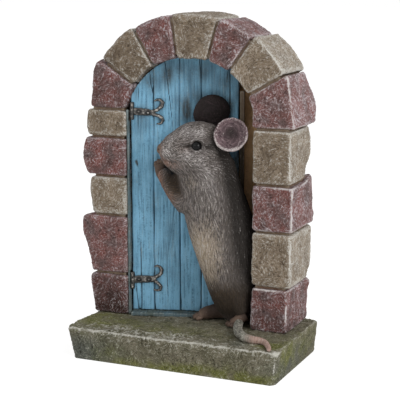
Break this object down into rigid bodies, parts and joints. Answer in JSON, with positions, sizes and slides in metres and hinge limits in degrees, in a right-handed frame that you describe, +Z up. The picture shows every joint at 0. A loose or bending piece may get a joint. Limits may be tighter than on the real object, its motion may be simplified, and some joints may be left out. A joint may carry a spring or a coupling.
{
  "type": "mouse figurine",
  "caption": "Cast garden ornament of a mouse standing at a blue plank door, hung ajar in a small arch of red and beige stones on a mossy slab.",
  "frame": {"origin": "middle of the slab's flat underside", "axes": "+X to the right along the wall, +Y from the front to the wall's back, +Z up; the mouse and the door face -Y"},
  "size_m": [0.133, 0.072, 0.1959],
  "materials": {
    "mossy_slab": "cast resin painted as rough stone, olive grey with moss green and pale worn edges",
    "red_stone": "cast resin painted as rough stone, dull red with pale dry-brushed edges",
    "beige_stone": "cast resin painted as rough stone, beige with pale dry-brushed edges",
    "mortar": "cast resin painted matt brown",
    "dark_back": "cast resin painted matt dark brown",
    "blue_wood": "cast resin painted as weathered blue boards with dark grain",
    "iron": "cast resin painted as dark iron with silver on the raised edges",
    "grey_fur": "cast resin with carved hair, painted grey brown with pale dry-brushed tips",
    "bare_skin": "cast resin painted pinkish tan",
    "ear_skin": "cast resin painted mauve grey with a pale rim",
    "eye_gloss": "glossy black"
  },
  "bodies": {
    "root": {"base_slab": "mossy_slab", "left_stone_1": "red_stone", "left_stone_2": "red_stone", "left_stone_4": "red_stone", "left_springer": "red_stone", "arch_stone_2": "red_stone", "arch_stone_3": "red_stone", "right_stone_1": "red_stone", "right_stone_3": "red_stone", "right_springer": "red_stone", "left_stone_3": "beige_stone", "left_stone_5": "beige_stone", "arch_stone_1": "beige_stone", "keystone": "beige_stone", "arch_stone_4": "beige_stone", "right_stone_2": "beige_stone", "right_stone_4": "beige_stone", "left_mortar": "mortar", "arch_mortar": "mortar", "right_mortar": "mortar", "back_panel": "dark_back", "door_plank_1": "blue_wood", "door_plank_2": "blue_wood", "door_plank_3": "blue_wood", "door_plank_4": "blue_wood", "door_plank_5": "blue_wood", "threshold": "blue_wood", "left_jamb": "blue_wood", "lower_hinge_knuckle": "iron", "lower_hinge_strap": "iron", "lower_hinge_rivets": "iron", "upper_hinge_knuckle": "iron", "upper_hinge_strap": "iron", "upper_hinge_rivets": "iron", "mouse_body": "grey_fur", "mouse_head": "grey_fur", "left_arm": "grey_fur", "right_arm": "grey_fur", "mouse_nose": "bare_skin", "left_paw": "bare_skin", "right_paw": "bare_skin", "left_foot": "bare_skin", "right_foot": "bare_skin", "tail": "bare_skin", "left_ear": "ear_skin", "right_ear": "ear_skin", "left_eye": "eye_gloss", "right_eye": "eye_gloss"}
  },
  "joints": []
}
